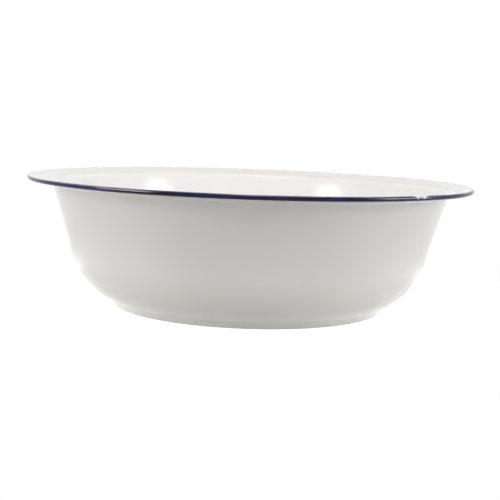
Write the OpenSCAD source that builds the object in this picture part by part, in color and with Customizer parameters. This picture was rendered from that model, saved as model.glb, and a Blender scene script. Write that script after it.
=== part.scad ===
// Enamelled wash basin. One steel sheet is pressed to a bowl and its rim is curled over. A dark
// ground coat of enamel covers the steel, and white and navy cover coats lie on the ground coat.
// Millimetres. The origin is on the floor, on the bowl's own axis, and +Z is up.

/* [Bowl] */
// Diameter over the finished rim
rim_d = 360; // [340:1:380]
// Height from the floor to the top of the rim
bowl_h = 103.5; // [96:0.5:112]
// Lean of the wall from upright, where it meets the neck, in degrees
wall_lean = 17.8; // [16:0.1:20]
// Radius of the slow outward flare of the wall
flare_r = 900; // [700:10:1200]
// Radius of the knee between the foot and the wall
knee_r = 61; // [52:0.5:70]

/* [Rim] */
// Diameter of the finished bead
bead_d = 3.4; // [3:0.1:6]
// Width of the flange along its slope, from the neck to the bead
flange_w = 16.4; // [12:0.1:22]
// Rise of the flange towards the bead, in degrees
flange_rise = 15; // [8:1:22]
// Radius of the neck between the wall and the flange
neck_r = 4; // [2:0.1:7]
// Gap between the sheet's curled edge and the underside of the flange
curl_gap = 0.25; // [0.1:0.05:0.5]
// Turn round the bead, from the end of the flange, at which the navy enamel starts, in degrees
navy_start = 62; // [20:1:150]

/* [Foot] */
// Distance in from the rim at which the foot's side would meet the floor
foot_inset = 69.25; // [62:0.25:78]
// Height of the foot's side
foot_h = 5.3; // [4:0.1:8]
// Lean of the foot's side from upright, in degrees
foot_lean = 25.5; // [10:0.5:35]
// Radius between the foot's side and the floor
foot_corner_r = 3.3; // [2:0.1:5]
// Radius of the hollow between the foot and the knee
foot_hollow_r = 2; // [1:0.1:4]
// Width of the flat ring that the bowl stands on
ring_w = 8; // [4:0.5:16]
// Rise of the base panel inside the ring
panel_rise = 1.2; // [0.5:0.1:3]
// Radius of the two bends between the ring and the base panel
panel_bend_r = 12; // [6:1:20]

/* [Sheet and enamel] */
// Thickness of the steel sheet
sheet_t = 0.6; // [0.4:0.05:0.8]
// Thickness of the ground coat
ground_t = 0.15; // [0.1:0.01:0.2]
// Thickness of the white and navy cover coats
cover_t = 0.2; // [0.15:0.01:0.3]

/* [Firing marks] */
// Number of marks that the firing points left under the base
firing_marks = 3; // [3:1:6]
// Diameter of a firing mark
firing_mark_d = 2; // [1:0.1:4]
// Distance of the firing marks from the edge of the base panel
firing_inset = 18; // [4:1:60]

/* [Hidden] */
// Facets of a full turn, and the most that a chord stands off its arc
turn_facets = 180;
arc_sag = 0.01;
// Points of an outline that are closer than this are one point
least_step = 0.001;
// Length by which a cut passes what it cuts
overrun = 1;

// Depths below the finished outer face at which one layer ends and the next starts
steel_out = cover_t + ground_t;
steel_in = steel_out + sheet_t;
ground_in = steel_in + ground_t;
white_in = ground_in + cover_t;

// Unit vectors along a heading and to its right, where heading 0 is outward and 90 is up.
// The profile runs from the axis outward and up, so its right is the bowl's outside.
function along(heading) = [cos(heading), sin(heading)];
function outside(heading) = [sin(heading), -cos(heading)];

function reversed(points) = [for (i = [len(points) - 1 : -1 : 0]) points[i]];

// A bend is [centre, radius of the finished outer face, 1 if its centre is inside the bowl or -1
// if it is outside, first heading, last heading].
function bend_point(bend, heading, depth) =
    bend[0] + bend[2] * (bend[1] - bend[2] * depth) * outside(heading);

function bend_steps(turn, radius) =
    max(2, ceil(abs(turn) / (sqrt(8 * arc_sag / radius) * 180 / PI)));

function bend_points(bend, depth) =
    let (steps = bend_steps(bend[4] - bend[3], bend[1]))
    [for (i = [0 : steps]) bend_point(bend, bend[3] + (bend[4] - bend[3]) * i / steps, depth)];

// Rim: the curl's centre, and the neck that ends where the flange starts
bead_r = bead_d / 2;
curl_centre = [rim_d / 2 - bead_r, bowl_h - bead_r];
flange_offset = bead_r - white_in;
flange_end = curl_centre - flange_offset * outside(flange_rise);
flange_start = flange_end - flange_w * along(flange_rise);
neck_centre = flange_start + neck_r * outside(flange_rise);

// Wall: the flare ends at the neck, with its centre outside the bowl
wall_top_heading = 90 - wall_lean;
wall_top = neck_centre - neck_r * outside(wall_top_heading);
flare_centre = wall_top + flare_r * outside(wall_top_heading);

// Foot: its side leans out from the floor to the top of the foot, where the knee starts
foot_heading = 90 - foot_lean;
foot_r = rim_d / 2 - foot_inset;
foot_top = [foot_r + foot_h / tan(foot_heading), foot_h];
foot_corner_centre = [foot_r - foot_corner_r * tan(foot_heading / 2), foot_corner_r];

// Knee: its arc passes through the top of the foot and runs smoothly into the flare, so its
// centre is a knee radius from the one and both radii from the flare's centre
flare_to_foot = foot_top - flare_centre;
flare_to_foot_dir = flare_to_foot / norm(flare_to_foot);
knee_reach = (norm(flare_to_foot) ^ 2 + (flare_r + knee_r) ^ 2 - knee_r ^ 2) / (2 * norm(flare_to_foot));
knee_offset = sqrt((flare_r + knee_r) ^ 2 - knee_reach ^ 2);
knee_centre = flare_centre + knee_reach * flare_to_foot_dir
    + knee_offset * [flare_to_foot_dir.y, -flare_to_foot_dir.x];
flare_to_knee = knee_centre - flare_centre;
knee_top_heading = atan2(-flare_to_knee.x, flare_to_knee.y);

// Hollow over the foot: its arc touches the foot's side and the knee from outside
hollow_start = foot_top + foot_hollow_r * outside(foot_heading) - knee_centre;
hollow_shift = -hollow_start * along(foot_heading)
    - sqrt((hollow_start * along(foot_heading)) ^ 2 - hollow_start * hollow_start
        + (knee_r + foot_hollow_r) ^ 2);
hollow_centre = knee_centre + hollow_start + hollow_shift * along(foot_heading);
knee_to_hollow = hollow_centre - knee_centre;
knee_start_heading = atan2(knee_to_hollow.x, -knee_to_hollow.y);

// Base: two like bends lift the panel off the floor, inside the ring
panel_turn = acos(1 - panel_rise / (2 * panel_bend_r));
ring_inside = foot_corner_centre.x - ring_w;
panel_low_centre = [ring_inside, panel_bend_r];
panel_high_centre = panel_low_centre - 2 * panel_bend_r * [sin(panel_turn), cos(panel_turn)];

profile_bends = [
    [panel_high_centre, panel_bend_r, -1, 0, -panel_turn],
    [panel_low_centre, panel_bend_r, 1, -panel_turn, 0],
    [foot_corner_centre, foot_corner_r, 1, 0, foot_heading],
    [hollow_centre, foot_hollow_r, -1, foot_heading, knee_start_heading],
    [knee_centre, knee_r, 1, knee_start_heading, knee_top_heading],
    [flare_centre, flare_r, -1, knee_top_heading, wall_top_heading],
    [neck_centre, neck_r, -1, wall_top_heading, flange_rise],
];

// Points of the bowl's face at a depth, from the axis to the start of the flange
function face(depth) =
    concat([[0, panel_rise + depth]], [for (bend = profile_bends) each bend_points(bend, depth)]);

// Points round the curl at a depth, between two turns from the end of the flange
function curl_point(depth, turn) = curl_centre - (flange_offset + depth) * outside(flange_rise - turn);

function curl(depth, from, to) =
    let (steps = bend_steps(to - from, bead_r))
    [for (i = [0 : steps]) curl_point(depth, from + (to - from) * i / steps)];

// Turn at which a face of the bead meets a face under the flange
function seam_turn(bead_depth, flange_depth) =
    360 - acos((flange_offset + flange_depth) / (flange_offset + bead_depth));

sheet_end_turn = 360 - acos((flange_offset + steel_out - curl_gap) / (flange_offset + steel_in));
ground_seam_turn = seam_turn(ground_in, cover_t);
cover_seam_turn = seam_turn(white_in, 0);

// An outline without the points that two bends share
function distinct(points) =
    [for (i = [0 : len(points) - 1]) if (i == 0 || norm(points[i] - points[i - 1]) > least_step) points[i]];

module turned(outline) {
    rotate_extrude($fn = turn_facets) polygon(distinct(outline));
}

// Pressed sheet with its curled edge. The curl is hollow.
module steel_bowl() {
    color("slategray") turned(concat(
        face(steel_out),
        curl(steel_out, 0, sheet_end_turn),
        curl(steel_in, sheet_end_turn, 0),
        reversed(face(steel_in))
    ));
}

// Ground coat on both faces of the sheet. It also closes the gap at the curled edge.
module ground_enamel() {
    color("midnightblue") turned(concat(
        face(ground_in),
        curl(ground_in, 0, navy_start),
        curl(ground_in, navy_start, ground_seam_turn),
        reversed(face(cover_t)),
        face(steel_out),
        curl(steel_out, 360, sheet_end_turn),
        curl(steel_in, sheet_end_turn, 0),
        reversed(face(steel_in))
    ));
}

// White coat inside the bowl, over the top of the bead
module inner_white_enamel() {
    color("whitesmoke") turned(concat(
        face(ground_in),
        curl(ground_in, 0, navy_start),
        curl(white_in, navy_start, 0),
        reversed(face(white_in))
    ));
}

// Round gap in the outer coat where the bowl stood on a firing point
module firing_mark() {
    translate([panel_high_centre.x - firing_inset, 0, panel_rise - overrun])
        cylinder(d = firing_mark_d, h = cover_t + 2 * overrun, $fn = turn_facets);
}

// White coat outside the bowl, from the base to the seam under the bead
module outer_white_enamel() {
    color("gainsboro") difference() {
        turned(concat(
            face(0),
            [curl_point(white_in, cover_seam_turn), curl_point(ground_in, ground_seam_turn)],
            reversed(face(cover_t))
        ));
        for (i = [0 : firing_marks - 1])
            rotate([0, 0, i * 360 / firing_marks]) firing_mark();
    }
}

// Navy coat round the outside and underside of the bead
module navy_rim_enamel() {
    color("midnightblue") turned(concat(
        curl(ground_in, navy_start, ground_seam_turn),
        curl(white_in, cover_seam_turn, navy_start)
    ));
}

steel_bowl();
ground_enamel();
inner_white_enamel();
outer_white_enamel();
navy_rim_enamel();
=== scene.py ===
import bpy
import math
import random
from mathutils import Matrix, Vector


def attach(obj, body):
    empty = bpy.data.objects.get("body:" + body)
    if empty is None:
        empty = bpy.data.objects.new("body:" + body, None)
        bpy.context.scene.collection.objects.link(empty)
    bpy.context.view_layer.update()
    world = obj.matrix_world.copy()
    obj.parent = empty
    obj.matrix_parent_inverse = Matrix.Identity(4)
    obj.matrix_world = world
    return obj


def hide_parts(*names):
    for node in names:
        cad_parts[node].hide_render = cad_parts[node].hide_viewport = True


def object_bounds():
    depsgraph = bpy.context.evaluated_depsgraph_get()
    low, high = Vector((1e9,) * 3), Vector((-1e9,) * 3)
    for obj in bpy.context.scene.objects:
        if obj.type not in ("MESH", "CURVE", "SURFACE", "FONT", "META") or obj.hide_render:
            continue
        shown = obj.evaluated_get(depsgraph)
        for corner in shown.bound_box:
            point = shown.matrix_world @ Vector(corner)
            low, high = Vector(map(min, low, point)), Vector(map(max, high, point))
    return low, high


# An enamelled wash basin in metres: white inside and out over a dark ground coat, with a navy rim.
# Each coat is drawn as an outline of (radius, height) points and turned round the bowl's own axis.
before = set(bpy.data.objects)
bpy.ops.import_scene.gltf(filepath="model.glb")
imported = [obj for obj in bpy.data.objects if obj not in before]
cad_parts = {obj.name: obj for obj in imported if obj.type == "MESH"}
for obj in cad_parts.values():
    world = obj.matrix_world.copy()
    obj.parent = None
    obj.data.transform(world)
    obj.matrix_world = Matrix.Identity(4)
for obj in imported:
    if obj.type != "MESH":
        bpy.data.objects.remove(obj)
cad_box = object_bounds()

MM = 0.001


def colour(r, g, b):
    return (r, g, b, 1)


# Facets of the coats
STEPS, RIM_STEPS = 320, 800        # columns of faces round the white coats, and round the navy rim
SECTORS = 8                        # a coat is spun for one sector, which is then copied round by doubling
SMOOTH_ANGLE = math.radians(40)
LONGEST_STEP = 6 * MM              # along an outline
BEND_STEP, BEND_TURN, BEND_LEAST = 4 * MM, 5, 3      # longest step and turn round a bend, and fewest steps
ONE_POINT_OF_FACE, ONE_POINT_OF_OUTLINE = 0.01 * MM, 0.004 * MM      # nearer points than this are one
WELD_OUTLINE, WELD_SECTORS = 0.001 * MM, 0.002 * MM

# Outer face of the bowl, as in the solids. Leans and rises are in degrees.
RIM_R = cad_box[1].x
BOWL_H = cad_box[1].z
WALL_LEAN, FLARE_R, KNEE_R = 17.8, 900 * MM, 61 * MM
BEAD_R, FLANGE_W, FLANGE_RISE, NECK_R = 1.7 * MM, 16.4 * MM, 15, 4 * MM
FOOT_INSET, FOOT_H, FOOT_LEAN = 69.25 * MM, 5.3 * MM, 25.5
FOOT_CORNER_R, FOOT_HOLLOW_R, RING_W = 3.3 * MM, 2 * MM, 8 * MM
PANEL_RISE, PANEL_BEND_R = 1.2 * MM, 12 * MM
POOLED_HOLLOW_R = 16 * MM          # over the foot, where the outer coat pooled and is thicker
SHEET, GROUND, COVER = 0.6 * MM, 0.15 * MM, 0.2 * MM

# Depths below the finished outer face
GROUND_IN = COVER + GROUND + SHEET + GROUND
WHITE_IN = GROUND_IN + COVER

# Bare spots under the base, where the bowl stood on points in the kiln, and the lip of glass round each
FIRING_MARKS, FIRING_MARK_R, FIRING_INSET = 3, 1 * MM, 18 * MM
LIP_R, LIP_FLATTENED = 0.12 * MM, 0.6
MARK_SIDES, LIP_SIDES = 48, 12

# Turns round the bead, in degrees from the end of the flange
WHITE_FULL, WHITE_END = 112, 132       # the white thins out to nothing under the navy
NAVY_START, NAVY_FULL = 18, 90         # the navy starts as a thin film and is opaque from here
LAP_GROWN, LAP_EASE, LAP_END = 60, 215, 262      # it stands fully proud, starts to level out, and is level
HOLD_START, HOLD_END = 120, 175        # the wandering of its edge fades out between these

# Turns from one point of an outline to the next, round the bead
OPEN_STEP, HIDDEN_STEP, EDGE_STEP = 6, 12, 3.5
WHITE_THINNING_STEP, NAVY_THINNING_STEP = 3, 7

NAVY_LAP = 0.14 * MM                   # how far the navy stands proud where it lies on the white
UNDERLAP = 0.01 * MM                   # how far its underside is sunk in the white
FILLET_R, FILLET_STEPS = 0.4 * MM, 6   # enamel that fills the seam under the bead
SEAM_CLEAR = 0.1 * MM                  # the last point before the seam stays this far from it

# The navy's edge, in degrees round the rim and round the bead. 0 is the right end and -90 the front.
SWEEPS = [(-180, 2), (-150, 14), (-135, 11), (-122, 9), (-104, -6), (-92, 9), (-82, -3), (-66, -2), (-44, -12),
          (-28, -3), (-8, -14), (8, -26), (24, -16), (60, 8), (100, -7), (140, 9), (180, 2)]
RIPPLE_SIZES = ((9, 2.4), (16, 2.4), (29, 2.0), (53, 1.6), (97, 1.2))      # waves round the rim, and size
chance = random.Random(7)
RIPPLES = [(k, size * chance.uniform(0.6, 1), chance.uniform(0, 2 * math.pi)) for k, size in RIPPLE_SIZES]
# Where the navy pulled back from the white in firing, with teeth in its edge
CHIP_AT, CHIP_HALF, CHIP_DEPTH = -48.2, 2.7, 52
CHIP_TEETH = ((143, 12), (311, 8))

# Looks of the white enamel. A pair of numbers is where a mask starts and where it is full.
WHITE_IOR = 1.52
WHITES = {      # pale and deep shade
    "inner": (colour(0.894, 0.886, 0.871), colour(0.873, 0.868, 0.85)),
    # Painted shade: the outer pair is darker than the inner, though both coats are the same white enamel, so
    # that the bowl's outside looks shaded
    "outer": (colour(0.779, 0.77, 0.738), colour(0.753, 0.747, 0.713)),
}
SHADE_WAVE, CLOUD_WAVE, DULL_WAVE = 90 * MM, 28 * MM, 11 * MM
# The flange's white is warmer and darker: partly its own warm tint, partly painted shade against the light it
# takes from above
FLANGE_WARM_SHADE, FLANGE_SHADE_SHARE = colour(0.78, 0.745, 0.712), 0.9
FLANGE_RADII, FLANGE_HEIGHTS = (156 * MM, 166 * MM), (88 * MM, 94 * MM)
SPECK_CELL, SPECK_R, SPECK_CELLS, SPECK_SHARE = 21 * MM, 0.28 * MM, 0.1, 0.75
SPECK_COLOUR = colour(0.10, 0.09, 0.085)
WHITE_ROUGH, WHITE_ROUGHER, DULL = 0.11, 0.05, (0.62, 0.8)
THIN_HEIGHTS, THIN_RADII, THIN_WAVE = (3.4 * MM, 0.6 * MM), (104.5 * MM, 108.5 * MM), 4 * MM
THIN_CLOUDS, THIN_LEAST, THIN_SHARE = (0.35, 0.75), 0.35, 0.45
THIN_COLOUR = colour(0.50, 0.51, 0.53)
SCUFF_HEIGHTS, SCUFF_WAVE, SCUFF_CLOUDS, SCUFF_SHARE = (0.35 * MM, 0.05 * MM), 3.5 * MM, (0.42, 0.7), 0.5
SCUFF_COLOUR, SCUFF_ROUGH = colour(0.36, 0.355, 0.34), 0.35
WHITE_WAVES = ((50 * MM, 1, 0.12 * MM), (7.5 * MM, 2, 0.006 * MM), (2.2 * MM, 2, 0.0012 * MM))

# Looks of the navy enamel. Its index is set low, so that it mirrors less of the white surroundings.
NAVY_IOR = 1.3
NAVY_DARK, NAVY_BRIGHT, NAVY_CLOUDS = colour(0.003, 0.002, 0.014), colour(0.018, 0.012, 0.085), (0.38, 0.68)
FILM_EDGE, FILM_THIN = colour(0.72, 0.70, 0.80), colour(0.15, 0.125, 0.30)
FILM_TINTED, FILM_COVERED, FILM_BROKEN = (0, 0.55), (0.4, 0.95), 0.22
NAVY_CLOUD_WAVE, NAVY_FINE_WAVE = 22 * MM, 4.5 * MM
NAVY_ROUGH, NAVY_ROUGHER = 0.10, 0.06
NAVY_WAVES = ((12 * MM, 2, 0.02 * MM), (2 * MM, 2, 0.0015 * MM))

# Looks of the ground coat and of the steel
GROUND_IOR, GROUND_GRAIN, GROUND_ROUGH, GROUND_ROUGHER = 1.52, 1.1 * MM, 0.22, 0.2
GROUND_DARK, GROUND_PALE = colour(0.012, 0.014, 0.026), colour(0.05, 0.055, 0.075)
GROUND_WAVES = ((0.7 * MM, 3, 0.02 * MM),)
STEEL_STRETCH, STEEL_LINES, STEEL_LINE_H = (1, 14, 14), 6 * MM, 0.004 * MM
STEEL_DARK, STEEL_PALE = colour(0.33, 0.335, 0.345), colour(0.50, 0.505, 0.51)
STEEL_ROUGH, STEEL_ROUGHER = 0.28, 0.18

# Stage. The floor takes light as near or far paint by the distance from the bowl's axis, and turns to plain
# white for the camera.
PLAIN_WHITE = colour(1, 1, 1)
FLOOR_R, FLOOR_SIDES = 6.0, 64
FLOOR_NEAR, FLOOR_FAR, FLOOR_PAINTS = colour(0.8, 0.8, 0.79), colour(0.5, 0.5, 0.49), (0.17, 0.34)
FLOOR_GLOW, FLOOR_WHITENS = 0.75, (0.19, 0.33)
WORLD_LIGHT = 0.1
# Place, height aimed at, width, height, watts, spread in degrees, gives light, shows in reflections
LAMPS = {
    "top_lamp": ((0, -0.2, 1.6), 0.1, 0.62, 0.62, 0.83, 21, True, False),
    "left_lamp": ((-2.136, -1.4, 0.93), 0.93, 0.74, 1.3, 23, 180, True, True),
    "right_lamp": ((2.31, -0.95, 0.81), 0.81, 0.74, 1.27, 23, 180, True, True),
    "left_low_panel": ((-1.2, 0, 0.14), 0.07, 0.8, 0.2, 2.7, 180, True, False),
    "right_low_panel": ((1.2, 0, 0.14), 0.07, 0.8, 0.2, 2.0, 180, True, False),
    "left_strip": ((-2.23, -1.13, 0.6), 0.6, 1.3, 0.75, 96, 180, False, True),
    "right_strip": ((2.476, -0.348, 0.6), 0.6, 1.4, 0.75, 76, 180, False, True),
    "front_left_panel": ((-1.1, -1.36, 0.3), 0.06, 0.5, 0.4, 1.0, 180, True, False),
    "front_right_panel": ((1.1, -1.36, 0.3), 0.06, 0.5, 0.4, 1.6, 180, True, False),
}
CAMERA_PLACE = Vector((0, -0.882, 0.1532))
CAMERA_PITCH, CAMERA_YAW, CAMERA_ROLL = 0.1221, -0.0014, math.radians(2.02)
FOCAL_PX, FRAME_PX, SENSOR, CLIP_START = 1072.5, 500, 36, 0.05


def heading(degrees):
    """Unit vector along a heading: 0 is outward and 90 is up."""
    return Vector((math.cos(math.radians(degrees)), math.sin(math.radians(degrees))))


def outside(degrees):
    """Unit vector square to a heading, on the bowl's outside."""
    return Vector((math.sin(math.radians(degrees)), -math.cos(math.radians(degrees))))


def heading_between(start, end):
    """The heading whose outside points from the start to the end."""
    return math.degrees(math.atan2(end.x - start.x, start.y - end.y))


def meeting(first, first_reach, second, second_reach):
    """The point at these distances from two points, on the right of the way from the first to the second."""
    way = second - first
    reach = (way.length_squared + first_reach ** 2 - second_reach ** 2) / (2 * way.length)
    offset = math.sqrt(first_reach ** 2 - reach ** 2)
    way.normalize()
    return first + reach * way + offset * Vector((way.y, -way.x))


def solve_profile():
    """The centre of the rim's curl, and the bends of the finished outer face from the base panel to the
    flange. A bend has a centre, a radius, 1 or -1 as its centre is inside or outside, and two headings."""
    curl = Vector((RIM_R - BEAD_R, BOWL_H - BEAD_R))
    flange_end = curl - (BEAD_R - WHITE_IN) * outside(FLANGE_RISE)
    flange_start = flange_end - FLANGE_W * heading(FLANGE_RISE)
    neck = flange_start + NECK_R * outside(FLANGE_RISE)
    wall_top = 90 - WALL_LEAN
    flare = neck - NECK_R * outside(wall_top) + FLARE_R * outside(wall_top)

    foot_side = 90 - FOOT_LEAN
    foot_r = RIM_R - FOOT_INSET
    foot_top = Vector((foot_r + FOOT_H / math.tan(math.radians(foot_side)), FOOT_H))
    corner = Vector((foot_r - FOOT_CORNER_R * math.tan(math.radians(foot_side / 2)), FOOT_CORNER_R))

    knee = meeting(flare, FLARE_R + KNEE_R, foot_top, KNEE_R)
    knee_top = heading_between(knee, flare)
    start = foot_top + FOOT_HOLLOW_R * outside(foot_side) - knee
    slide = start.dot(heading(foot_side))
    shift = -slide - math.sqrt(slide ** 2 - start.length_squared + (KNEE_R + FOOT_HOLLOW_R) ** 2)
    hollow = knee + start + shift * heading(foot_side)
    knee_foot = heading_between(knee, hollow)

    turn = math.degrees(math.acos(1 - PANEL_RISE / (2 * PANEL_BEND_R)))
    low = Vector((corner.x - RING_W, PANEL_BEND_R))
    high = low + 2 * PANEL_BEND_R * outside(-turn)
    bends = [
        (high, PANEL_BEND_R, -1, 0, -turn),
        (low, PANEL_BEND_R, 1, -turn, 0),
        (corner, FOOT_CORNER_R, 1, 0, foot_side),
        (hollow, FOOT_HOLLOW_R, -1, foot_side, knee_foot),
        (knee, KNEE_R, 1, knee_foot, knee_top),
        (flare, FLARE_R, -1, knee_top, wall_top),
        (neck, NECK_R, -1, wall_top, FLANGE_RISE),
    ]
    return curl, bends


CURL, BENDS = solve_profile()
PANEL_EDGE = BENDS[0][0].x
FLANGE_OFFSET = BEAD_R - WHITE_IN


def pooled_bends():
    """The same bends with a soft hollow over the foot, which touches the foot's corner and the knee."""
    corner, knee = BENDS[2][0], BENDS[4][0]
    hollow = meeting(corner, FOOT_CORNER_R + POOLED_HOLLOW_R, knee, KNEE_R + POOLED_HOLLOW_R)
    first, last = heading_between(corner, hollow), heading_between(knee, hollow)
    bends = list(BENDS)
    bends[2] = BENDS[2][:4] + (first,)
    bends[3] = (hollow, POOLED_HOLLOW_R, -1, first, last)
    bends[4] = BENDS[4][:3] + (last, BENDS[4][4])
    return bends


def smooth(share):
    """0 to 1 with a soft start and end."""
    share = min(1, max(0, share))
    return share * share * (3 - 2 * share)


def spaced(first, last, step):
    """Even values from first to last, about a step apart."""
    parts = max(1, round(abs(last - first) / step))
    return [first + (last - first) * i / parts for i in range(parts + 1)]


def divided(points, longest):
    """The same line with points added, so that no step is longer than this."""
    out = [points[0]]
    for a, b in zip(points, points[1:]):
        parts = max(1, math.ceil((b - a).length / longest))
        out += [a.lerp(b, i / parts) for i in range(1, parts + 1)]
    return out


def face(depth, bends=BENDS):
    """The bowl's face at a depth, from the axis to the end of the flange at the bead."""
    points = [Vector((0, PANEL_RISE + depth))]
    for centre, radius, side, first, last in bends:
        length = math.radians(abs(last - first)) * radius
        steps = max(BEND_LEAST, math.ceil(abs(last - first) / BEND_TURN), math.ceil(length / BEND_STEP))
        for i in range(steps + 1):
            turn = first + (last - first) * i / steps
            point = centre + side * (radius - side * depth) * outside(turn)
            if (point - points[-1]).length > ONE_POINT_OF_FACE:
                points.append(point)
    return divided(points + [curl_point(depth, 0)], LONGEST_STEP)


def curl_point(depth, turn):
    """A point round the bead."""
    return CURL - (FLANGE_OFFSET + depth) * outside(FLANGE_RISE - turn)


def curl(first_depth, last_depth, first, last, step=OPEN_STEP):
    """Round the bead between two turns, while the depth goes smoothly from one value to the other."""
    steps = max(2, math.ceil(abs(last - first) / step))
    return [curl_point(first_depth + (last_depth - first_depth) * smooth(i / steps),
                       first + (last - first) * (i / steps)) for i in range(steps + 1)]


def turn_of(arm):
    """The turn round the bead at which an arm from its centre points."""
    return (FLANGE_RISE - math.degrees(math.atan2(-arm.x, arm.y))) % 360


def seam(bead_depth, flange_depth):
    """The turn at which a face of the bead meets a face under the flange."""
    return 360 - math.degrees(math.acos((FLANGE_OFFSET + flange_depth) / (FLANGE_OFFSET + bead_depth)))


GROUND_SEAM = seam(GROUND_IN, COVER)
SEAM_IN = curl_point(WHITE_IN, seam(WHITE_IN, 0))
SEAM_OUT = curl_point(GROUND_IN, GROUND_SEAM)


def deselect_all():
    if bpy.context.mode != "OBJECT":
        bpy.ops.object.mode_set(mode="OBJECT")
    bpy.ops.object.select_all(action="DESELECT")


def turned(name, outline, steps, closed=False):
    """Draws an outline by extruding one point along it, and spins it round the bowl's axis."""
    points = [outline[0]]
    for point in outline[1:]:
        if (point - points[-1]).length > ONE_POINT_OF_OUTLINE:
            points.append(point)
    way = points + points[:1] if closed else points
    deselect_all()
    bpy.ops.mesh.primitive_plane_add(size=1 * MM, location=(points[0].x, 0, points[0].y))
    piece = bpy.context.object
    piece.name = piece.data.name = name
    bpy.ops.object.transform_apply(location=True, rotation=False, scale=False)
    bpy.ops.object.mode_set(mode="EDIT")
    bpy.ops.mesh.select_all(action="SELECT")
    bpy.ops.mesh.merge(type="CENTER")
    for here, there in zip(way, way[1:]):
        bpy.ops.mesh.extrude_vertices_move(
            TRANSFORM_OT_translate={"value": (there.x - here.x, 0, there.y - here.y)})
    bpy.ops.mesh.select_all(action="SELECT")
    bpy.ops.mesh.remove_doubles(threshold=WELD_OUTLINE)
    bpy.ops.mesh.spin(steps=steps // SECTORS, angle=2 * math.pi / SECTORS, center=(0, 0, 0), axis=(0, 0, 1))
    share = SECTORS
    while share > 1:
        bpy.ops.mesh.select_all(action="SELECT")
        bpy.ops.mesh.duplicate()
        bpy.ops.transform.rotate(value=2 * math.pi / share, orient_axis="Z", center_override=(0, 0, 0))
        share //= 2
    bpy.ops.mesh.select_all(action="SELECT")
    bpy.ops.mesh.remove_doubles(threshold=WELD_SECTORS)
    bpy.ops.mesh.normals_make_consistent(inside=False)
    bpy.ops.object.mode_set(mode="OBJECT")
    bpy.ops.object.shade_smooth_by_angle(angle=SMOOTH_ANGLE)
    return piece


def cut(piece, tool, operation):
    """Joins a tool's solid to the piece, or takes it away, and deletes the tool."""
    deselect_all()
    bpy.context.view_layer.objects.active = piece
    piece.select_set(True)
    modifier = piece.modifiers.new(operation.lower(), "BOOLEAN")
    modifier.operation, modifier.object, modifier.solver = operation, tool, "MANIFOLD"
    bpy.ops.object.modifier_apply(modifier=modifier.name)
    bpy.data.objects.remove(tool, do_unlink=True)


def inner_white():
    """White coat from the middle of the floor over the top of the bead, where it thins out under the navy."""
    outline = (face(GROUND_IN) + curl(GROUND_IN, GROUND_IN, 0, WHITE_END)
               + curl(GROUND_IN, WHITE_IN, WHITE_END, WHITE_FULL, WHITE_THINNING_STEP)
               + curl(WHITE_IN, WHITE_IN, WHITE_FULL, 0) + face(WHITE_IN)[::-1])
    return turned("inner_white", outline, STEPS)


def outer_white():
    """White coat from the middle of the base up under the flange to the seam beside the bead."""
    under = [p for p in face(0, pooled_bends())[:-1] if p.x < SEAM_IN.x - SEAM_CLEAR]
    over = [p for p in face(COVER)[:-1] if p.x < SEAM_OUT.x - SEAM_CLEAR]
    piece = turned("outer_white", under + [SEAM_IN, SEAM_OUT] + over[::-1], STEPS)
    mark_by_firing(piece)
    return piece


def mark_by_firing(piece):
    """Bare spots under the base, each in a lip of glass."""
    reach = PANEL_EDGE - FIRING_INSET
    for i in range(FIRING_MARKS):
        azimuth = 2 * math.pi * i / FIRING_MARKS
        spot = (reach * math.cos(azimuth), reach * math.sin(azimuth), PANEL_RISE)
        deselect_all()
        bpy.ops.mesh.primitive_torus_add(major_radius=FIRING_MARK_R + LIP_R, minor_radius=LIP_R,
                                         major_segments=MARK_SIDES, minor_segments=LIP_SIDES, location=spot)
        bpy.ops.transform.resize(value=(1, 1, LIP_FLATTENED))
        cut(piece, bpy.context.object, "UNION")
        deselect_all()
        bpy.ops.mesh.primitive_cone_add(vertices=MARK_SIDES, radius1=FIRING_MARK_R + 0.5 * LIP_R,
                                        radius2=FIRING_MARK_R - 0.5 * LIP_R, depth=4 * COVER, location=spot)
        cut(piece, bpy.context.object, "DIFFERENCE")
    deselect_all()
    piece.select_set(True)
    bpy.context.view_layer.objects.active = piece
    bpy.ops.object.shade_smooth_by_angle(angle=SMOOTH_ANGLE)


def lap(turn):
    """How far the navy stands proud of the white at a turn: nothing at its edge and in the seam."""
    grown = math.sqrt(smooth((turn - NAVY_START) / (LAP_GROWN - NAVY_START)))
    return NAVY_LAP * grown * (1 - smooth((turn - LAP_EASE) / (LAP_END - LAP_EASE)))


def navy_outline():
    """The navy coat in section: its hidden inner side, its face, and the fillet that fills the seam."""
    outline = [curl_point(GROUND_IN, turn) for turn in spaced(GROUND_SEAM, WHITE_END, HIDDEN_STEP)]
    outline += curl(GROUND_IN, WHITE_IN, WHITE_END, WHITE_FULL, NAVY_THINNING_STEP)
    under_turns = spaced(WHITE_FULL, NAVY_START, HIDDEN_STEP)[1:]
    outline += [curl_point(WHITE_IN - UNDERLAP, turn) for turn in under_turns]
    reach = math.sqrt((BEAD_R + FILLET_R) ** 2 - (FILLET_R - FLANGE_OFFSET) ** 2)
    fillet = CURL + (FILLET_R - FLANGE_OFFSET) * outside(FLANGE_RISE) - reach * heading(FLANGE_RISE)
    leave = fillet - CURL
    face_turns = spaced(NAVY_START, HOLD_START, EDGE_STEP)[1:]
    face_turns += spaced(HOLD_START, turn_of(leave), OPEN_STEP)[1:]
    outline += [curl_point(WHITE_IN + lap(turn), turn) for turn in face_turns]
    first = math.atan2(-leave.y, -leave.x)
    up = -outside(FLANGE_RISE)
    sweep = (math.atan2(up.y, up.x) - first + math.pi) % (2 * math.pi) - math.pi
    for i in range(1, FILLET_STEPS + 1):
        angle = first + sweep * i / FILLET_STEPS
        outline.append(fillet + FILLET_R * Vector((math.cos(angle), math.sin(angle))))
    return outline + [SEAM_IN]


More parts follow.
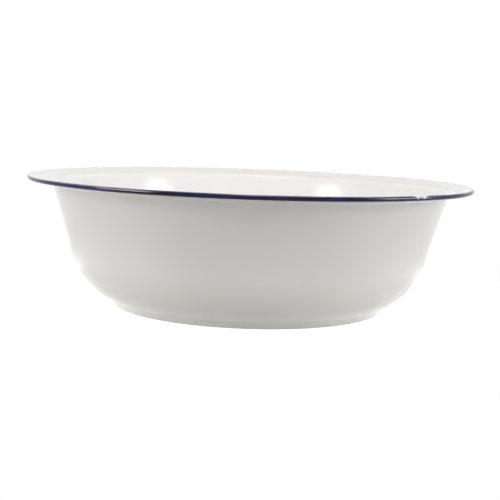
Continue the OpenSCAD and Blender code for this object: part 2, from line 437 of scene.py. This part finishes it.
def brushed(azimuth):
    """How far round the bead the navy's edge is from its usual place, by long sweeps, ripples and the chip."""
    degrees = math.degrees(azimuth)
    shift = SWEEPS[0][1]
    for (a, low), (b, high) in zip(SWEEPS, SWEEPS[1:]):
        if a <= degrees <= b:
            shift = low + (high - low) * smooth((degrees - a) / (b - a))
    shift += sum(size * math.sin(k * azimuth + phase) for k, size, phase in RIPPLES)
    bare = smooth(2 - 2 * abs(degrees - CHIP_AT) / CHIP_HALF)
    return shift + bare * (CHIP_DEPTH + sum(size * math.sin(k * azimuth) for k, size in CHIP_TEETH))


def navy_rim():
    """Navy coat round the bead. Its upper edge is moved round the bead, and a film value is 0 there and 1
    where the coat is opaque."""
    piece = turned("navy_rim", navy_outline(), RIM_STEPS, closed=True)
    film = piece.data.attributes.new("film", "FLOAT", "POINT")
    for vertex in piece.data.vertices:
        azimuth = math.atan2(vertex.co.y, vertex.co.x)
        arm = Vector((math.hypot(vertex.co.x, vertex.co.y), vertex.co.z)) - CURL
        turn = turn_of(arm)
        on_face = arm.length > BEAD_R - 0.5 * UNDERLAP
        grown = min(1, (turn - NAVY_START) / (NAVY_FULL - NAVY_START))
        film.data[vertex.index].value = grown if on_face else 1
        turn += brushed(azimuth) * min(1, max(0, (HOLD_END - turn) / (HOLD_END - HOLD_START)))
        spot = CURL - arm.length * outside(FLANGE_RISE - turn)
        vertex.co = (spot.x * math.cos(azimuth), spot.x * math.sin(azimuth), spot.y)
    piece.data.update()
    return piece


class Wire:
    """A value on its way through a tree of nodes, on which sums can be written."""

    def __init__(self, tree, socket):
        self.tree, self.socket = tree, socket

    def maths(self, operation, *values):
        return self.tree.node("ShaderNodeMath", dict(operation=operation), dict(enumerate(values)))

    def __add__(self, other): return self.maths("ADD", self, other)
    def __radd__(self, other): return self.maths("ADD", other, self)
    def __sub__(self, other): return self.maths("SUBTRACT", self, other)
    def __rsub__(self, other): return self.maths("SUBTRACT", other, self)
    def __mul__(self, other): return self.maths("MULTIPLY", self, other)
    def __rmul__(self, other): return self.maths("MULTIPLY", other, self)
    def __pow__(self, other): return self.maths("POWER", self, other)
    def __rpow__(self, other): return self.maths("POWER", other, self)

    def beside(self, output):
        """Another output of the same node."""
        return Wire(self.tree, self.socket.node.outputs[output])

    def ramp(self, low, high):
        """0 below low, 1 above high, and a smooth rise between; low over high makes it fall."""
        return self.tree.node("ShaderNodeMapRange", dict(interpolation_type="SMOOTHSTEP"),
                              {"Value": self, "From Min": low, "From Max": high})


class Tree:
    """The nodes of a material or of the world, built from nothing."""

    def __init__(self, owner):
        owner.use_nodes = True
        self.owner, self.nodes, self.links = owner, owner.node_tree.nodes, owner.node_tree.links
        self.nodes.clear()

    def node(self, kind, settings, inputs, output=0):
        node = self.nodes.new(kind)
        for name, value in settings.items():
            setattr(node, name, value)
        for name, value in inputs.items():
            if isinstance(value, Wire):
                self.links.new(value.socket, node.inputs[name])
            else:
                node.inputs[name].default_value = value
        return Wire(self, node.outputs[output]) if node.outputs else None

    def blend(self, share, first, second):
        """A shader between two shaders."""
        return self.node("ShaderNodeMixShader", {}, {0: share, 1: first, 2: second})

    def seen(self):
        """1 for what the camera sees, also mirrored or through glass, and 0 for the light that is given."""
        camera = self.node("ShaderNodeLightPath", {}, {}, "Is Camera Ray")
        mirrored = camera.maths("MAXIMUM", camera.beside("Is Glossy Ray"), camera.beside("Is Transmission Ray"))
        return camera.maths("MAXIMUM", camera, mirrored)


class Finish(Tree):
    """A material with one Principled shader."""

    def __init__(self, name, **constants):
        super().__init__(bpy.data.materials.new(name))
        self.constants = constants
        self.place = self.node("ShaderNodeTexCoord", {}, {}, "Object")

    def made(self, **values):
        """The finished material, with these values and the constants in the shader's sockets."""
        sockets = {name.replace("_", " "): value for name, value in {**self.constants, **values}.items()}
        shader = self.node("ShaderNodeBsdfPrincipled", {}, sockets)
        self.node("ShaderNodeOutputMaterial", {}, {"Surface": shader})
        return self.owner

    def noise(self, wavelength, detail=2, roughness=0.5, place=None):
        """Cloudy noise from 0 to 1 about this long from crest to crest, in metres."""
        return self.node("ShaderNodeTexNoise", dict(noise_dimensions="3D"),
                         {"Vector": place or self.place, "Scale": 1 / wavelength, "Detail": detail,
                          "Roughness": roughness}, "Fac")

    def mix(self, share, first, second):
        """A colour between two colours."""
        return self.node("ShaderNodeMix", dict(data_type="RGBA"), {0: share, 6: first, 7: second}, 2)

    def axes(self, vector):
        first = self.node("ShaderNodeSeparateXYZ", {}, {0: vector})
        return first, first.beside(1), first.beside(2)

    def bump(self, height):
        """A normal from a height in metres."""
        return self.node("ShaderNodeBump", {}, {"Strength": 1.0, "Distance": 1.0, "Height": height}, "Normal")

    def waves(self, rows):
        """A normal from waves laid over each other, each with its wavelength, detail and height."""
        first, *others = [self.noise(wavelength, detail) * height for wavelength, detail, height in rows]
        for other in others:
            first = first + other
        return self.bump(first)

    def specks(self, cell, size, share):
        """1 in sparse round specks, each about this big, in this share of cells."""
        distance = self.node("ShaderNodeTexVoronoi", dict(voronoi_dimensions="3D"),
                             {"Vector": self.place, "Scale": 1 / cell}, "Distance")
        chosen = distance.maths("LESS_THAN", self.axes(distance.beside("Color"))[0], share)
        return chosen * distance.ramp(size / cell, 0.5 * size / cell)


def white_enamel(name, pale, deep, worn_foot):
    """Glossy white glass with faint waves from the firing and sparse specks. The flange is warmer and darker:
    its own warm tint, with painted shade against the light it takes from above. A worn foot is thin and grey at
    its corner, and scuffed where it stands."""
    finish = Finish(name, IOR=WHITE_IOR)
    x, y, z = finish.axes(finish.place)
    radius = (x * x + y * y) ** 0.5
    base = finish.mix(finish.noise(SHADE_WAVE, 2), deep, pale)
    # Painted shade on the flange and its neck, with the flange's own warm tint: these take much light from
    # above and are darkened here
    flange = radius.ramp(*FLANGE_RADII) * z.ramp(*FLANGE_HEIGHTS)
    base = finish.mix(flange * FLANGE_SHADE_SHARE, base, FLANGE_WARM_SHADE)
    speck = finish.specks(SPECK_CELL, SPECK_R, SPECK_CELLS)
    base = finish.mix(speck * SPECK_SHARE, base, SPECK_COLOUR)
    rough = WHITE_ROUGH + WHITE_ROUGHER * finish.noise(CLOUD_WAVE, 3)
    rough = rough + WHITE_ROUGHER * finish.noise(DULL_WAVE, 4).ramp(*DULL)
    if worn_foot:
        corner = z.ramp(*THIN_HEIGHTS) * radius.ramp(*THIN_RADII)
        clouds = finish.noise(THIN_WAVE, 3).ramp(*THIN_CLOUDS)
        thin = corner * (THIN_LEAST + (1 - THIN_LEAST) * clouds)
        base = finish.mix(thin * THIN_SHARE, base, THIN_COLOUR)
        scuff = z.ramp(*SCUFF_HEIGHTS) * finish.noise(SCUFF_WAVE, 5, 0.7).ramp(*SCUFF_CLOUDS)
        base = finish.mix(scuff * SCUFF_SHARE, base, SCUFF_COLOUR)
        rough = rough + scuff * SCUFF_ROUGH
    return finish.made(Base_Color=base, Roughness=rough, Normal=finish.waves(WHITE_WAVES))


def navy_enamel():
    """Glossy navy glass, thin and violet at its brushed edge and where it pulled away from the white."""
    finish = Finish("navy_enamel", IOR=NAVY_IOR)
    film = finish.node("ShaderNodeAttribute", dict(attribute_name="film"), {}, "Fac")
    fine = finish.noise(NAVY_FINE_WAVE, 3)
    deep = finish.mix(finish.noise(NAVY_CLOUD_WAVE, 3).ramp(*NAVY_CLOUDS), NAVY_DARK, NAVY_BRIGHT)
    film = film + FILM_BROKEN * (fine - 0.5)
    violet = finish.mix(film.ramp(*FILM_TINTED), FILM_EDGE, FILM_THIN)
    base = finish.mix(film.ramp(*FILM_COVERED), violet, deep)
    return finish.made(Base_Color=base, Roughness=NAVY_ROUGH + NAVY_ROUGHER * fine,
                       Normal=finish.waves(NAVY_WAVES))


def ground_enamel():
    """Thin dark ground glass with a speckled, slightly matt face."""
    finish = Finish("ground_enamel", IOR=GROUND_IOR)
    grain = finish.noise(GROUND_GRAIN, 4)
    return finish.made(Base_Color=finish.mix(grain, GROUND_DARK, GROUND_PALE),
                       Roughness=GROUND_ROUGH + GROUND_ROUGHER * grain, Normal=finish.waves(GROUND_WAVES))


def rolled_steel():
    """Cold-rolled sheet with its fine rolling lines stretched by the press."""
    finish = Finish("rolled_steel", Metallic=1.0)
    stretched = finish.node("ShaderNodeMapping", {}, {"Vector": finish.place, "Scale": STEEL_STRETCH})
    lines = finish.noise(STEEL_LINES, 4, 0.6, stretched)
    return finish.made(Base_Color=finish.mix(lines, STEEL_DARK, STEEL_PALE),
                       Roughness=STEEL_ROUGH + STEEL_ROUGHER * lines, Normal=finish.bump(lines * STEEL_LINE_H))


def keep(piece, node, material):
    """Puts a finished piece in the frame in place of its node."""
    piece.data.materials.clear()
    piece.data.materials.append(material)
    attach(piece, "root")
    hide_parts(node)


def floor_material():
    """Pale floor that keeps the bowl's shadow and is white to the camera away from it. The camera sees
    through it from below."""
    tree = Tree(bpy.data.materials.new("pale_floor"))
    place = tree.node("ShaderNodeTexCoord", {}, {}, "Object")
    distance = tree.node("ShaderNodeVectorMath", dict(operation="LENGTH"), {0: place}, "Value")
    near, far = (tree.node("ShaderNodeBsdfDiffuse", {}, {"Color": paint}) for paint in (FLOOR_NEAR, FLOOR_FAR))
    paint = tree.blend(distance.ramp(*FLOOR_PAINTS), near, far)
    glow, white = (tree.node("ShaderNodeEmission", {}, {"Color": PLAIN_WHITE, "Strength": strength})
                   for strength in (FLOOR_GLOW, 1.0))
    glowing = tree.node("ShaderNodeAddShader", {}, {0: paint, 1: glow})
    shown = tree.blend(distance.ramp(*FLOOR_WHITENS), glowing, white)
    above = tree.blend(tree.seen(), paint, shown)
    backfacing = tree.node("ShaderNodeNewGeometry", {}, {}, "Backfacing")
    below = backfacing * tree.node("ShaderNodeLightPath", {}, {}, "Is Camera Ray")
    clear = tree.node("ShaderNodeBsdfTransparent", {}, {})
    tree.node("ShaderNodeOutputMaterial", {}, {"Surface": tree.blend(below, above, clear)})
    return tree.owner


def lay_floor():
    deselect_all()
    bpy.ops.mesh.primitive_circle_add(vertices=FLOOR_SIDES, radius=FLOOR_R, fill_type="NGON",
                                      location=(0, 0, 0))
    floor = bpy.context.object
    floor.name = "floor"
    floor.data.materials.append(floor_material())


def surround():
    """Plain white surroundings that give only a little light."""
    world = bpy.data.worlds.new("studio")
    bpy.context.scene.world = world
    tree = Tree(world)
    dim, plain = (tree.node("ShaderNodeBackground", {}, {"Color": PLAIN_WHITE, "Strength": strength})
                  for strength in (WORLD_LIGHT, 1.0))
    tree.node("ShaderNodeOutputWorld", {}, {"Surface": tree.blend(tree.seen(), dim, plain)})


def lamp(name, place, aim_height, width, height, watts, spread, lights, seen):
    """A soft rectangular lamp that faces the bowl's axis. A narrow spread keeps its light off the floor. One
    that only lights makes no reflection, and one that is only seen makes nothing else."""
    data = bpy.data.lights.new(name, "AREA")
    data.shape = "RECTANGLE"
    data.size, data.size_y, data.energy = width, height, watts
    data.spread = math.radians(spread)
    thing = bpy.data.objects.new(name, data)
    bpy.context.scene.collection.objects.link(thing)
    thing.location = place
    thing.rotation_euler = (Vector(place) - Vector((0, 0, aim_height))).to_track_quat("Z", "Y").to_euler()
    thing.visible_diffuse, thing.visible_glossy = lights, seen


def set_camera():
    """The photo's camera, which is rolled a little."""
    data = bpy.data.cameras.new("camera")
    data.sensor_width = SENSOR
    data.lens = SENSOR * FOCAL_PX / FRAME_PX
    data.clip_start = CLIP_START
    camera = bpy.data.objects.new("camera", data)
    bpy.context.scene.collection.objects.link(camera)
    camera.matrix_world = (Matrix.Translation(CAMERA_PLACE) @ Matrix.Rotation(CAMERA_YAW, 4, "Z")
                           @ Matrix.Rotation(math.pi / 2 - CAMERA_PITCH, 4, "X")
                           @ Matrix.Rotation(CAMERA_ROLL, 4, "Z"))
    bpy.context.scene.camera = camera


keep(inner_white(), "inner_white_enamel",
     white_enamel("inner_white_enamel", *WHITES["inner"], worn_foot=False))
# The outer coat takes the darker pair of whites, which is painted shade
keep(outer_white(), "outer_white_enamel",
     white_enamel("outer_white_enamel", *WHITES["outer"], worn_foot=True))
keep(navy_rim(), "navy_rim_enamel", navy_enamel())
for node, material in (("ground_enamel", ground_enamel()), ("steel_bowl", rolled_steel())):
    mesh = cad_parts[node].data
    mesh.materials.clear()
    mesh.materials.append(material)

lay_floor()
surround()
for name, settings in LAMPS.items():
    lamp(name, *settings)
set_camera()
bpy.context.scene.view_settings.view_transform = "Standard"
